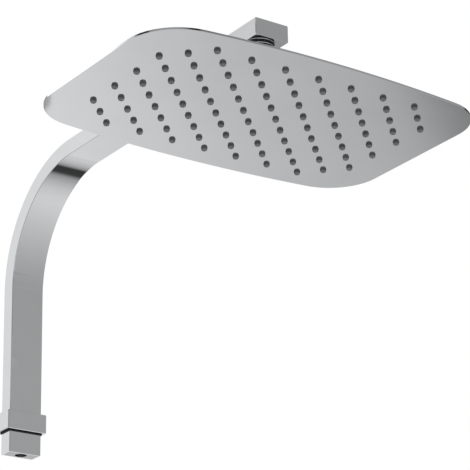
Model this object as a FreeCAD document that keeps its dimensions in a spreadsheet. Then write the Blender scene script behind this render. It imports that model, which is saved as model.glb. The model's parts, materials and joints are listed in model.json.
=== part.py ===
import FreeCAD, Part
import math
import os
import Sketcher

# Overhead shower on a column arm: a thin bowed plate with rubber nozzles, held by a ball joint
# under the end of a flat swan-neck arm, which turns on the top of a cut length of riser.
# The origin is the centre of the riser's foot, +Z is up and the arm reaches towards -Y.
# Lengths are in millimetres and angles in degrees.

SIZES = (
    # The flat tube that the arm and the riser are made of
    ("tube_width", 36.0),
    ("tube_depth", 17.0),
    ("tube_wall", 1.5),
    ("tube_edge_bevel", 0.5),
    # The arm, measured from the foot of the riser and from the riser's axis
    ("arm_rise", 282.3),
    ("arm_reach", 423.2),
    ("arm_overhang", 21.9),
    ("bend_inner_radius", 110.0),
    ("end_cap_thickness", 1.5),
    ("end_cap_plug", 5.0),
    # The joint between the arm and the riser
    ("riser_length", 21.4),
    ("slip_gasket_thickness", 1.3),
    ("slip_gasket_overhang", 1.2),
    ("collar_height", 19.6),
    ("collar_thickness", 4.0),
    ("collar_bevel", 0.5),
    ("socket_block_height", 15.6),
    ("socket_depth", 5.8),
    ("inlet_depth", 8.0),
    ("inlet_radius", 6.0),
    ("spigot_radius", 5.95),
    ("spigot_bore_radius", 3.2),
    ("spigot_foot_gap", 0.4),
    ("spigot_plug_height", 24.0),
    ("spigot_seal_level", 13.2),
    ("spigot_seal_width", 1.5),
    # The arm turns until an end of the groove in its spigot meets the stop screw
    ("swivel_angle", 45.0),
    ("stop_screw_angle", 24.5),
    ("stop_level", 18.6),
    ("stop_screw_radius", 1.95),
    ("stop_screw_length", 3.5),
    ("stop_groove_depth", 1.2),
    # The outlet under the end of the arm
    ("outlet_bore_radius", 4.0),
    ("outlet_thread_radius", 6.5),
    ("outlet_nut_radius", 10.5),
    ("outlet_nut_height", 5.0),
    ("outlet_thread_overhang", 0.5),
    ("outlet_washer_radius", 15.0),
    ("outlet_washer_thickness", 1.5),
    # The ball joint
    ("stud_flange_radius", 15.4),
    ("stud_flange_height", 5.5),
    ("stud_neck_radius", 5.2),
    ("stud_neck_length", 15.0),
    ("ball_radius", 10.0),
    ("ball_foot_angle", 52.0),
    ("ball_neck_angle", 57.0),
    ("friction_ring_wall", 1.65),
    ("friction_ring_low_angle", 16.0),
    ("friction_ring_high_angle", 26.0),
    ("seat_foot_drop", 8.5),
    ("seat_top_drop", 3.2),
    ("seat_cup_angle", 40.0),
    ("nut_flat_radius", 16.2),
    ("nut_rise", 9.4),
    ("nut_skirt", 13.0),
    ("nut_mouth_radius", 8.6),
    ("nut_shoulder_angle", 35.0),
    # The hub on the back of the plate
    ("hub_foot_radius", 26.0),
    ("hub_foot_height", 2.5),
    ("hub_cone_height", 8.0),
    ("hub_neck_radius", 14.0),
    ("hub_bore_radius", 5.0),
    ("hub_mouth_radius", 7.5),
    ("hub_mouth_depth", 5.5),
    ("regulator_thickness", 3.8),
    ("regulator_hole_radius", 1.0),
    ("regulator_hole_circle", 3.2),
    # The head, measured from the underside of the arm to the underside of the plate
    ("head_drop", 67.3),
    ("plate_length", 360.0),
    ("plate_width", 240.0),
    ("plate_corner_radius", 50.0),
    ("plate_bow_radius", 1210.0),
    ("sheet_thickness", 1.0),
    ("pan_rise", 4.0),
    ("pan_foot_inset", 10.0),
    ("pan_top_inset", 16.0),
    ("mat_inset", 13.0),
    ("mat_thickness", 1.2),
    ("stay_radius", 2.5),
    ("stay_clearance", 0.3),
    # The nozzles stand in rows that are set half a step apart
    ("nozzle_end_margin", 37.7),
    ("nozzle_side_margin", 31.0),
    ("nozzle_hole_radius", 3.2),
    ("nipple_root_radius", 2.9),
    ("nipple_tip_radius", 2.4),
    ("nipple_length", 2.9),
    # Clearances, and the overrun of cuts
    ("running_gap", 0.1),
    ("fit_clearance", 0.05),
    ("overrun", 1.0),
)

# Half steps from the middle of the plate to its outermost nozzles
END_STEPS = 8
SIDE_STEPS = 5
# Blocks of places in half steps: first column, first row, columns, rows, column jump, row jump
NOZZLE_BLOCKS = (
    (-8, -3, 9, 4, 2, 2),
    (-6, -5, 7, 2, 2, 10),
    (-7, -4, 8, 5, 2, 2),
)
STAY_BLOCK = (-6, -2, 4, 2, 4, 4)
# How far the inside of the pan is tucked in, so that its slope is as thick as its flat
PAN_TUCK_SHARE = 0.3
# Nozzles, stays and nuts are six-sided; the ball is turned in narrow conical bands
HEX_SIDES = 6
BALL_BANDS = 6
REGULATOR_HOLES = 6
# An edge whose middle lies beyond this share of the way out is an outer edge
OUTER_EDGE_SHARE = 0.8
FULL_TURN = 360.0
# Turns a piece's own Z axis to +Y
BACKWARD = FreeCAD.Rotation(FreeCAD.Vector(1, 0, 0), -90.0)


class Size:
    """A size that keeps its number together with the sheet expression that gives it."""

    def __init__(self, number, text):
        self.number = float(number)
        self.text = text

    def __add__(self, other):
        return join(self, other, "+", self.number + as_size(other).number)

    def __sub__(self, other):
        return join(self, other, "-", self.number - as_size(other).number)

    def __mul__(self, factor):
        return join(self, factor, "*", self.number * as_size(factor).number)

    def __truediv__(self, factor):
        return join(self, factor, "/", self.number / as_size(factor).number)

    def __neg__(self):
        return as_size(0) - self


def cosine(angle):
    """Cosine of an angle in degrees, as a bound share."""
    return Size(math.cos(math.radians(angle.number)), "cos(%s * 1 deg)" % angle.text)


def sine(angle):
    """Sine of an angle in degrees, as a bound share."""
    return Size(math.sin(math.radians(angle.number)), "sin(%s * 1 deg)" % angle.text)


def as_size(value):
    """Turn a count or a zero into a size, and leave a size alone."""
    if isinstance(value, Size):
        return value
    return Size(value, "(%r)" % value)


def join(left, right, sign, number):
    """Write one step of arithmetic as a sheet expression beside its number."""
    return Size(number, "(%s %s %s)" % (left.text, sign, as_size(right).text))


def read_sizes(doc):
    """Fill the sheet with the driving sizes and give them back by name."""
    sheet = doc.addObject("Spreadsheet::Sheet", "Sizes")
    sizes = {}
    for row, (name, value) in enumerate(SIZES, start=1):
        sheet.set("A%d" % row, name)
        sheet.set("B%d" % row, str(value))
        sheet.setAlias("B%d" % row, name)
        sizes[name] = Size(value, "Sizes." + name)
    doc.recompute()
    return sizes


doc = FreeCAD.newDocument("OverheadShower")
S = read_sizes(doc)
ZERO = as_size(0)
NODES = []

# Levels and radii that several pieces share
tube_foot = S["riser_length"] + S["slip_gasket_thickness"] + S["running_gap"]
face_level = S["arm_rise"] - S["head_drop"]
stud_top = S["arm_rise"] - S["outlet_washer_thickness"]
ball_level = stud_top - S["stud_flange_height"] - S["stud_neck_length"]
ball_height = ball_level - face_level
head_place = (ZERO, -S["arm_reach"], face_level)
ball_place = (ZERO, -S["arm_reach"], ball_level)
pan_top = S["sheet_thickness"] * 2 + S["pan_rise"]
hub_top = ball_height - S["seat_foot_drop"] - S["fit_clearance"]
hub_floor = hub_top - S["hub_mouth_depth"]
arm_axis_level = S["arm_rise"] + S["tube_depth"] / 2
arm_end = S["arm_reach"] + S["arm_overhang"]
inner_width = S["tube_width"] - S["tube_wall"] * 2
inner_depth = S["tube_depth"] - S["tube_wall"] * 2
plug_width = inner_width - S["fit_clearance"] * 2
plug_depth = inner_depth - S["fit_clearance"] * 2
step_x = (S["plate_length"] / 2 - S["nozzle_end_margin"]) / END_STEPS
step_y = (S["plate_width"] / 2 - S["nozzle_side_margin"]) / SIDE_STEPS
socket_radius = S["spigot_radius"] + S["fit_clearance"]
socket_floor = S["socket_block_height"] - S["socket_depth"]
spigot_foot = socket_floor + S["spigot_foot_gap"]
seal_floor_radius = S["spigot_radius"] - S["spigot_seal_width"]
ball_clear_radius = S["ball_radius"] + S["fit_clearance"]
ring_outer_radius = ball_clear_radius + S["friction_ring_wall"]
cavity_radius = ring_outer_radius + S["fit_clearance"]
nut_bore_radius = cavity_radius + S["fit_clearance"]


def bind(thing, prop, size):
    """Set a property to a size and tie it to the sheet."""
    thing.setExpression(prop, size.text)


def place(thing, x=ZERO, y=ZERO, z=ZERO):
    """Move a piece by sizes from the sheet."""
    bind(thing, "Placement.Base.x", as_size(x))
    bind(thing, "Placement.Base.y", as_size(y))
    bind(thing, "Placement.Base.z", as_size(z))
    return thing


def node(thing, label, spot=(ZERO, ZERO, ZERO)):
    """Name a finished sub-part and set it in its place."""
    thing.Label = label
    place(thing, *spot)
    NODES.append(thing)
    return thing


def origin_part(body, role):
    """One of a body's own origin planes or axes."""
    for feature in body.Origin.OriginFeatures:
        if feature.Role == role:
            return feature
    raise ValueError(role)


def new_sketch(body, name, role="XY_Plane", lift=ZERO):
    """Sketch on a body's own plane, lifted along that plane's normal."""
    sketch = body.newObject("Sketcher::SketchObject", name)
    sketch.AttachmentSupport = [(origin_part(body, role), "")]
    sketch.MapMode = "FlatFace"
    bind(sketch, "AttachmentOffset.Base.z", as_size(lift))
    return sketch


def constrain(sketch, kind, where, size):
    """Add one dimension to a sketch and tie it to the sheet."""
    index = sketch.addConstraint(Sketcher.Constraint(kind, *where, size.number))
    bind(sketch, "Constraints[%d]" % index, size)


def pin_point(sketch, edge, end, x, y):
    """Hold one point of a sketch at a place measured from the sketch origin."""
    for kind, axis, size in (("DistanceX", -2, as_size(x)), ("DistanceY", -1, as_size(y))):
        if size.text == ZERO.text:
            sketch.addConstraint(Sketcher.Constraint("PointOnObject", edge, end, axis))
        else:
            constrain(sketch, kind, (-1, 1, edge, end), size)


def draw_polygon(sketch, points):
    """Closed outline of straight lines through bound points."""
    first = sketch.GeometryCount
    corners = [FreeCAD.Vector(as_size(x).number, as_size(y).number, 0) for x, y in points]
    for index, corner in enumerate(corners):
        following = corners[(index + 1) % len(corners)]
        sketch.addGeometry(Part.LineSegment(corner, following), False)
    for index, (x, y) in enumerate(points):
        following = first + (index + 1) % len(corners)
        sketch.addConstraint(Sketcher.Constraint("Coincident", first + index, 2, following, 1))
        pin_point(sketch, first + index, 1, x, y)


def draw_circle(sketch, radius, x=ZERO, y=ZERO):
    """Bound circle."""
    middle = FreeCAD.Vector(as_size(x).number, as_size(y).number, 0)
    edge = sketch.addGeometry(Part.Circle(middle, FreeCAD.Vector(0, 0, 1), radius.number), False)
    constrain(sketch, "Radius", (edge,), radius)
    pin_point(sketch, edge, 3, x, y)


def draw_rectangle(sketch, width, depth):
    """Rectangle centred on the sketch origin."""
    x = width / 2
    y = depth / 2
    draw_polygon(sketch, ((-x, -y), (x, -y), (x, y), (-x, y)))


def draw_bevelled_rectangle(sketch, width, depth, bevel):
    """Rectangle with bevelled corners, centred on the sketch origin."""
    x = width / 2
    y = depth / 2
    draw_polygon(sketch, (
        (-x + bevel, -y),
        (x - bevel, -y),
        (x, -y + bevel),
        (x, y - bevel),
        (x - bevel, y),
        (-x + bevel, y),
        (-x, y - bevel),
        (-x, -y + bevel),
    ))


def draw_hexagon(sketch, radius, x=ZERO, y=ZERO):
    """Regular hexagon round a point."""
    corners = [as_size(side * FULL_TURN / HEX_SIDES) for side in range(HEX_SIDES)]
    draw_polygon(sketch, [(radius * cosine(turn) + x, radius * sine(turn) + y) for turn in corners])


def arc(x, y, radius, start, end):
    """Plain arc for a sketch, with its angles in radians."""
    circle = Part.Circle(FreeCAD.Vector(x, y, 0), FreeCAD.Vector(0, 0, 1), radius)
    return Part.ArcOfCircle(circle, start, end)


def draw_plate_outline(sketch, inset):
    """Outline of the shower plate, drawn in all round: straight ends, round corners, bowed sides."""
    half_length = S["plate_length"] / 2 - inset
    half_width = S["plate_width"] / 2 - inset
    corner = S["plate_corner_radius"] - inset
    bow = S["plate_bow_radius"] - inset
    bow_drop = half_width - bow
    corner_x = half_length.number - corner.number
    span = bow.number - corner.number
    corner_y = bow_drop.number + math.sqrt(span ** 2 - corner_x ** 2)
    turn = math.acos(corner_x / span)
    end = half_length.number
    r = corner.number
    sketch.addGeometry([
        Part.LineSegment(FreeCAD.Vector(end, -corner_y, 0), FreeCAD.Vector(end, corner_y, 0)),
        arc(corner_x, corner_y, r, 0, turn),
        arc(0, bow_drop.number, bow.number, turn, math.pi - turn),
        arc(-corner_x, corner_y, r, math.pi - turn, math.pi),
        Part.LineSegment(FreeCAD.Vector(-end, corner_y, 0), FreeCAD.Vector(-end, -corner_y, 0)),
        arc(-corner_x, -corner_y, r, math.pi, math.pi + turn),
        arc(0, -bow_drop.number, bow.number, math.pi + turn, 2 * math.pi - turn),
        arc(corner_x, -corner_y, r, 2 * math.pi - turn, 2 * math.pi),
    ], False)
    sketch.addConstraint([Sketcher.Constraint("Tangent", i, 2, (i + 1) % 8, 1) for i in range(8)])
    sketch.addConstraint([Sketcher.Constraint("Equal", 1, i) for i in (3, 5, 7)])
    sketch.addConstraint(Sketcher.Constraint("Equal", 2, 6))
    sketch.addConstraint([Sketcher.Constraint("Vertical", i) for i in (0, 4)])
    sketch.addConstraint([Sketcher.Constraint("PointOnObject", i, 3, -2) for i in (2, 6)])
    constrain(sketch, "Radius", (1,), corner)
    constrain(sketch, "Radius", (2,), bow)
    constrain(sketch, "DistanceX", (-1, 1, 0, 1), half_length)
    constrain(sketch, "DistanceX", (-1, 1, 4, 1), -half_length)
    constrain(sketch, "DistanceY", (-1, 1, 2, 3), bow_drop)
    constrain(sketch, "DistanceY", (-1, 1, 6, 3), -bow_drop)


def new_body(name):
    """Empty body for one sub-part."""
    return doc.addObject("PartDesign::Body", name)


def pad(body, name, sketch, length, reverse=False):
    """Extrude a sketch along its normal, or against it."""
    feature = body.newObject("PartDesign::Pad", name)
    feature.Profile = sketch
    feature.Reversed = reverse
    bind(feature, "Length", length)
    doc.recompute()
    return feature


def revolve(body, name, points):
    """Turn a closed outline of (radius, level) points about the body's Z axis."""
    sketch = new_sketch(body, name + "Outline", "XZ_Plane")
    draw_polygon(sketch, points)
    feature = body.newObject("PartDesign::Revolution", name)
    feature.Profile = sketch
    feature.ReferenceAxis = (sketch, ["V_Axis"])
    feature.Angle = FULL_TURN
    doc.recompute()
    return feature


def shaped(body, name, kind, spot=(ZERO, ZERO, ZERO), **sizes):
    """Add or cut a round primitive whose sizes are tied to the sheet."""
    feature = body.newObject("PartDesign::" + kind, name)
    for prop, size in sizes.items():
        bind(feature, prop, size)
    place(feature, *spot)
    doc.recompute()
    return feature


def drill(body, name, radius, length, spot=(ZERO, ZERO, ZERO)):
    """Upright round hole that starts at the given place."""
    return shaped(body, name, "SubtractiveCylinder", spot, Radius=radius, Height=length)


def drill_back(body, name, radius, length, y, z):
    """Round hole along +Y that starts at the given place."""
    hole = drill(body, name, radius, length, (ZERO, y, z))
    hole.Placement.Rotation = BACKWARD
    doc.recompute()
    return hole


def repeat_in_block(body, name, originals, steps):
    """Repeat features over a block of places of the nozzle grid."""
    columns, rows, column_jump, row_jump = steps[2:]
    pattern = body.newObject("PartDesign::LinearPattern", name)
    pattern.Originals = originals
    pattern.Direction = (origin_part(body, "X_Axis"), [""])
    pattern.Direction2 = (origin_part(body, "Y_Axis"), [""])
    pattern.Occurrences = columns
    pattern.Occurrences2 = rows
    bind(pattern, "Length", step_x * (column_jump * (columns - 1)))
    bind(pattern, "Length2", step_y * (row_jump * (rows - 1)))
    body.Tip = pattern
    doc.recompute()


def repeat_round(body, name, originals, count):
    """Repeat features in a full circle about the body's Z axis."""
    pattern = body.newObject("PartDesign::PolarPattern", name)
    pattern.Originals = originals
    pattern.Axis = (origin_part(body, "Z_Axis"), [""])
    pattern.Angle = FULL_TURN
    pattern.Occurrences = count
    body.Tip = pattern
    doc.recompute()


def bevel_ends(body, name, base, width):
    """Chamfer the outer edges round both ends of an upright block."""
    box = base.Shape.BoundBox
    edges = []
    for index, edge in enumerate(base.Shape.Edges, start=1):
        middle = edge.BoundBox.Center
        flat = edge.BoundBox.ZLength < width.number / 2
        reach = max(abs(middle.x) / box.XMax, abs(middle.y) / box.YMax)
        if flat and reach > OUTER_EDGE_SHARE:
            edges.append("Edge%d" % index)
    chamfer = body.newObject("PartDesign::Chamfer", name)
    chamfer.Base = (base, edges)
    bind(chamfer, "Size", width)
    doc.recompute()


def make_riser_tube():
    """Cut length of flat tube at the top of the column, with a hole for the stop screw."""
    body = new_body("RiserTube")
    section = new_sketch(body, "RiserSection")
    draw_bevelled_rectangle(section, S["tube_width"], S["tube_depth"], S["tube_edge_bevel"])
    draw_rectangle(section, inner_width, inner_depth)
    pad(body, "RiserWall", section, S["riser_length"])
    radius = S["stop_screw_radius"] + S["fit_clearance"]
    hole_length = S["tube_wall"] + S["overrun"] * 2
    start = S["tube_depth"] / 2 + S["overrun"] - hole_length
    drill_back(body, "StopScrewHole", radius, hole_length, start, S["stop_level"])
    node(body, "riser_tube")


def make_riser_socket():
    """Brass block in the riser: the supply's inlet below and the socket of the swivel above."""
    body = new_body("RiserSocket")
    section = new_sketch(body, "SocketSection")
    draw_rectangle(section, plug_width, plug_depth)
    pad(body, "SocketBlock", section, S["socket_block_height"])
    drill(body, "Inlet", S["inlet_radius"], S["inlet_depth"] + S["overrun"], (ZERO, ZERO, -S["overrun"]))
    drill(body, "Passage", S["spigot_bore_radius"], S["socket_block_height"])
    drill(body, "Socket", socket_radius, S["socket_depth"] + S["overrun"], (ZERO, ZERO, socket_floor))
    node(body, "riser_socket")


def make_slip_gasket():
    """Black gasket on the riser that the arm slides on, a little wider than the tube."""
    body = new_body("SlipGasket")
    section = new_sketch(body, "GasketOutline")
    overhang = S["slip_gasket_overhang"] * 2
    width = S["tube_width"] + overhang
    depth = S["tube_depth"] + overhang
    draw_bevelled_rectangle(section, width, depth, S["tube_edge_bevel"])
    draw_circle(section, socket_radius + S["running_gap"] * 2)
    pad(body, "Gasket", section, S["slip_gasket_thickness"])
    node(body, "slip_gasket", (ZERO, ZERO, S["riser_length"]))


def make_stop_screw():
    """Grub screw in the back of the riser whose tip runs in the swivel's stop groove."""
    body = new_body("StopScrew")
    section = new_sketch(body, "ScrewSection")
    draw_circle(section, S["stop_screw_radius"])
    pad(body, "Screw", section, S["stop_screw_length"], reverse=True)
    node(body, "stop_screw", (ZERO, S["tube_depth"] / 2 - S["running_gap"], S["stop_level"]))
    body.Placement.Rotation = BACKWARD


def make_arm_tube():
    """Flat tube swept from the joint up, round the swan-neck bend and out to the end of the arm."""
    body = new_body("ArmTube")
    section = new_sketch(body, "ArmSection", lift=tube_foot)
    draw_bevelled_rectangle(section, S["tube_width"], S["tube_depth"], S["tube_edge_bevel"])
    draw_rectangle(section, inner_width, inner_depth)
    path = new_sketch(body, "ArmPath", "YZ_Plane")
    bend_radius = S["bend_inner_radius"] + S["tube_depth"] / 2
    bend_level = arm_axis_level - bend_radius
    tube_end = arm_end - S["end_cap_thickness"]
    foot = FreeCAD.Vector(0, tube_foot.number, 0)
    bend_foot = FreeCAD.Vector(0, bend_level.number, 0)
    bend_top = FreeCAD.Vector(-bend_radius.number, arm_axis_level.number, 0)
    end = FreeCAD.Vector(-tube_end.number, arm_axis_level.number, 0)
    path.addGeometry([
        Part.LineSegment(foot, bend_foot),
        arc(-bend_radius.number, bend_level.number, bend_radius.number, 0, math.pi / 2),
        Part.LineSegment(bend_top, end),
    ], False)
    path.addConstraint([
        Sketcher.Constraint("Tangent", 0, 2, 1, 1),
        Sketcher.Constraint("Tangent", 1, 2, 2, 1),
        Sketcher.Constraint("Vertical", 0),
        Sketcher.Constraint("Horizontal", 2),
    ])
    constrain(path, "Radius", (1,), bend_radius)
    pin_point(path, 0, 1, ZERO, tube_foot)
    pin_point(path, 2, 2, -tube_end, arm_axis_level)
    doc.recompute()
    sweep = body.newObject("PartDesign::AdditivePipe", "ArmSweep")
    sweep.Profile = section
    sweep.Spine = (path, ["Edge1", "Edge2", "Edge3"])
    doc.recompute()
    hole_length = S["tube_wall"] + S["overrun"] * 2
    hole_radius = S["outlet_thread_radius"] + S["running_gap"]
    drill(body, "OutletHole", hole_radius, hole_length, (ZERO, -S["arm_reach"], S["arm_rise"] - S["overrun"]))
    node(body, "arm_tube")


def make_arm_end_cap():
    """Flush plate that closes the end of the arm, with a plug inside the tube."""
    body = new_body("ArmEndCap")
    face = new_sketch(body, "CapFace", "XZ_Plane")
    draw_bevelled_rectangle(face, S["tube_width"], S["tube_depth"], S["tube_edge_bevel"])
    pad(body, "CapPlate", face, S["end_cap_thickness"])
    plug = new_sketch(body, "CapPlugSection", "XZ_Plane")
    draw_rectangle(plug, plug_width, plug_depth)
    pad(body, "CapPlug", plug, S["end_cap_plug"], reverse=True)
    node(body, "arm_end_cap", (ZERO, S["end_cap_thickness"] - arm_end, arm_axis_level))


def make_joint_collar():
    """Sleeve round the foot of the arm that covers the swivel joint."""
    body = new_body("JointCollar")
    outer = new_sketch(body, "CollarOutline")
    thickness = S["collar_thickness"] * 2
    draw_bevelled_rectangle(
        outer, S["tube_width"] + thickness, S["tube_depth"] + thickness, S["collar_bevel"])
    block = pad(body, "CollarBlock", outer, S["collar_height"])
    bevel_ends(body, "CollarBevels", block, S["collar_bevel"])
    opening = new_sketch(body, "CollarOpening", lift=-S["overrun"])
    clearance = S["fit_clearance"] * 2
    draw_bevelled_rectangle(
        opening, S["tube_width"] + clearance, S["tube_depth"] + clearance, S["tube_edge_bevel"])
    bore = body.newObject("PartDesign::Pocket", "CollarBore")
    bore.Profile = opening
    bore.Reversed = True
    bind(bore, "Length", S["collar_height"] + S["overrun"] * 2)
    doc.recompute()
    node(body, "joint_collar", (ZERO, ZERO, tube_foot))


def make_arm_spigot():
    """Brass plug in the foot of the arm with the turned spigot that swivels in the riser."""
    body = new_body("ArmSpigot")
    radius = S["spigot_radius"]
    groove_half_width = S["spigot_seal_width"] / 2 + S["running_gap"]
    revolve(body, "Spigot", (
        (ZERO, spigot_foot),
        (radius, spigot_foot),
        (radius, S["spigot_seal_level"] - groove_half_width),
        (seal_floor_radius, S["spigot_seal_level"] - groove_half_width),
        (seal_floor_radius, S["spigot_seal_level"] + groove_half_width),
        (radius, S["spigot_seal_level"] + groove_half_width),
        (radius, tube_foot),
        (ZERO, tube_foot),
    ))
    section = new_sketch(body, "PlugSection", lift=tube_foot)
    draw_rectangle(section, plug_width, plug_depth)
    pad(body, "Plug", section, S["spigot_plug_height"])
    waterway = tube_foot + S["spigot_plug_height"] - spigot_foot + S["overrun"] * 2
    drill(body, "Waterway", S["spigot_bore_radius"], waterway, (ZERO, ZERO, spigot_foot - S["overrun"]))
    outline = new_sketch(body, "StopGrooveOutline", "YZ_Plane")
    half_width = S["stop_screw_radius"] + S["running_gap"]
    groove_floor = radius - S["stop_groove_depth"]
    draw_polygon(outline, (
        (groove_floor, S["stop_level"] - half_width),
        (radius + S["overrun"], S["stop_level"] - half_width),
        (radius + S["overrun"], S["stop_level"] + half_width),
        (groove_floor, S["stop_level"] + half_width),
    ))
    groove = body.newObject("PartDesign::Groove", "StopGroove")
    groove.Profile = outline
    groove.ReferenceAxis = (outline, ["V_Axis"])
    groove.Midplane = True
    bind(groove, "Angle", (S["swivel_angle"] + S["stop_screw_angle"]) * 2)
    doc.recompute()
    node(body, "arm_spigot")


def ring(name, label, inner_radius, outer_radius, height, spot):
    """Flat ring of square section that stands on the given place."""
    body = new_body(name)
    revolve(body, name + "Section", (
        (inner_radius, ZERO),
        (outer_radius, ZERO),
        (outer_radius, height),
        (inner_radius, height),
    ))
    node(body, label, spot)


def make_spigot_seal():
    """Square-cut sealing ring in the groove of the spigot."""
    width = S["spigot_seal_width"]
    level = S["spigot_seal_level"] - width / 2
    outer_radius = socket_radius - S["fit_clearance"] / 2
    ring("SpigotSeal", "spigot_seal", seal_floor_radius, outer_radius, width, (ZERO, ZERO, level))


def make_outlet_washer():
    """Black washer between the arm and the flange of the ball stud."""
    inner_radius = S["outlet_thread_radius"] + S["running_gap"]
    spot = (ZERO, -S["arm_reach"], stud_top)
    ring(
        "OutletWasher", "outlet_washer", inner_radius, S["outlet_washer_radius"],
        S["outlet_washer_thickness"], spot)


def make_outlet_nut():
    """Flat nut inside the arm that holds the ball stud."""
    body = new_body("OutletNut")
    section = new_sketch(body, "NutSection")
    draw_hexagon(section, S["outlet_nut_radius"])
    draw_circle(section, S["outlet_thread_radius"] + S["fit_clearance"])
    pad(body, "Nut", section, S["outlet_nut_height"])
    node(body, "outlet_nut", (ZERO, -S["arm_reach"], S["arm_rise"] + S["tube_wall"]))


def ball_outline(radius, low_angle, high_angle, bands):
    """Points of a ball turned in narrow bands, from its cut foot up to its neck."""
    points = []
    for band in range(bands + 1):
        angle = -low_angle + (low_angle + high_angle) * band / bands
        points.append((radius * cosine(angle), radius * sine(angle)))
    return points


def make_ball_stud():
    """Chromed stud through the floor of the arm: thread, flange, neck and the bored ball."""
    body = new_body("BallStud")
    bore = S["outlet_bore_radius"]
    ball = ball_outline(S["ball_radius"], S["ball_foot_angle"], S["ball_neck_angle"], BALL_BANDS)
    flange_foot = S["stud_neck_length"]
    flange_top = flange_foot + S["stud_flange_height"]
    thread_length = (
        S["outlet_washer_thickness"] + S["tube_wall"] + S["outlet_nut_height"] + S["outlet_thread_overhang"])
    revolve(body, "Stud", (
        (bore, ball[0][1]),
        *ball,
        (S["stud_neck_radius"], ball[-1][1]),
        (S["stud_neck_radius"], flange_foot),
        (S["stud_flange_radius"], flange_foot),
        (S["stud_flange_radius"], flange_top),
        (S["outlet_thread_radius"], flange_top),
        (S["outlet_thread_radius"], flange_top + thread_length),
        (bore, flange_top + thread_length),
    ))
    node(body, "ball_stud", ball_place)


def make_friction_ring():
    """Split ring between the ball and the nut whose grip holds the head at its angle."""
    body = new_body("FrictionRing")
    inner_radius = ball_clear_radius * cosine(S["friction_ring_low_angle"])
    outer_radius = ring_outer_radius * cosine(S["friction_ring_high_angle"])
    foot = ball_clear_radius * sine(S["friction_ring_low_angle"])
    top = ring_outer_radius * sine(S["friction_ring_high_angle"])
    revolve(body, "RingSection", (
        (inner_radius, foot),
        (outer_radius, foot),
        (outer_radius, top),
        (inner_radius, top),
    ))
    node(body, "friction_ring", ball_place)


def make_ball_seat():
    """Sealing cup under the ball, with a conical face that the ball lies in."""
    body = new_body("BallSeat")
    slope = S["seat_cup_angle"]
    foot = -S["seat_foot_drop"]
    top = -S["seat_top_drop"]
    revolve(body, "SeatSection", (
        ((ball_clear_radius + foot * sine(slope)) / cosine(slope), foot),
        (cavity_radius, foot),
        (cavity_radius, top),
        ((ball_clear_radius + top * sine(slope)) / cosine(slope), top),
    ))
    node(body, "ball_seat", ball_place)


def make_union_nut():
    """Six-sided nut that draws the hub up against the ball."""
    body = new_body("UnionNut")
    slope = S["nut_shoulder_angle"]
    foot = -S["nut_skirt"]
    blank = new_sketch(body, "NutBlankOutline", lift=foot)
    draw_hexagon(blank, S["nut_flat_radius"])
    pad(body, "NutBlank", blank, S["nut_skirt"] + S["nut_rise"])
    hollow = new_sketch(body, "NutHollowOutline", "XZ_Plane")
    draw_polygon(hollow, (
        (ZERO, foot),
        (nut_bore_radius, foot),
        (nut_bore_radius, (cavity_radius - nut_bore_radius * cosine(slope)) / sine(slope)),
        (S["nut_mouth_radius"], (cavity_radius - S["nut_mouth_radius"] * cosine(slope)) / sine(slope)),
        (S["nut_mouth_radius"], S["nut_rise"]),
        (ZERO, S["nut_rise"]),
    ))
    cut = body.newObject("PartDesign::Groove", "NutHollow")
    cut.Profile = hollow
    cut.ReferenceAxis = (hollow, ["V_Axis"])
    cut.Angle = FULL_TURN
    doc.recompute()
    node(body, "union_nut", ball_place)


def make_hub_boss():
    """Turned hub on the back of the plate that carries the head and leads the water in."""
    body = new_body("HubBoss")
    bore = S["hub_bore_radius"]
    foot_top = pan_top + S["hub_foot_height"]
    cone_top = foot_top + S["hub_cone_height"]
    neck_top = ball_height - S["nut_skirt"] - S["running_gap"]
    thread_radius = nut_bore_radius - S["fit_clearance"]
    revolve(body, "Hub", (
        (bore, pan_top),
        (S["hub_foot_radius"], pan_top),
        (S["hub_foot_radius"], foot_top),
        (S["hub_neck_radius"], cone_top),
        (S["hub_neck_radius"], neck_top),
        (thread_radius, neck_top),
        (thread_radius, hub_top),
        (S["hub_mouth_radius"], hub_top),
        (S["hub_mouth_radius"], hub_floor),
        (bore, hub_floor),
    ))
    node(body, "hub_boss", head_place)


def make_flow_regulator():
    """Perforated insert in the mouth of the hub that screens and limits the flow."""
    body = new_body("FlowRegulator")
    disc = new_sketch(body, "RegulatorOutline")
    draw_circle(disc, S["hub_mouth_radius"] - S["fit_clearance"])
    pad(body, "RegulatorDisc", disc, S["regulator_thickness"])
    hole = shaped(
        body, "RegulatorHole", "SubtractivePrism", (S["regulator_hole_circle"], ZERO, -S["overrun"]),
        Circumradius=S["regulator_hole_radius"], Height=S["regulator_thickness"] + S["overrun"] * 2)
    repeat_round(body, "RegulatorHoles", [hole], REGULATOR_HOLES)
    node(body, "flow_regulator", (ZERO, -S["arm_reach"], face_level + hub_floor))


def loft(body, name, kind, foot, top):
    """Straight-sided solid or hollow between two sketches."""
    doc.recompute()
    feature = body.newObject("PartDesign::" + kind, name)
    feature.Profile = foot
    feature.Sections = [(top, [""])]
    feature.Ruled = True
    doc.recompute()
    return feature


def loft_outlines(body, name, kind, foot_inset, foot_level, top_inset, top_level):
    """Sloping solid or hollow between two plate outlines."""
    foot = new_sketch(body, name + "Foot", lift=foot_level)
    draw_plate_outline(foot, foot_inset)
    top = new_sketch(body, name + "Top", lift=top_level)
    draw_plate_outline(top, top_inset)
    loft(body, name, kind, foot, top)


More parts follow.
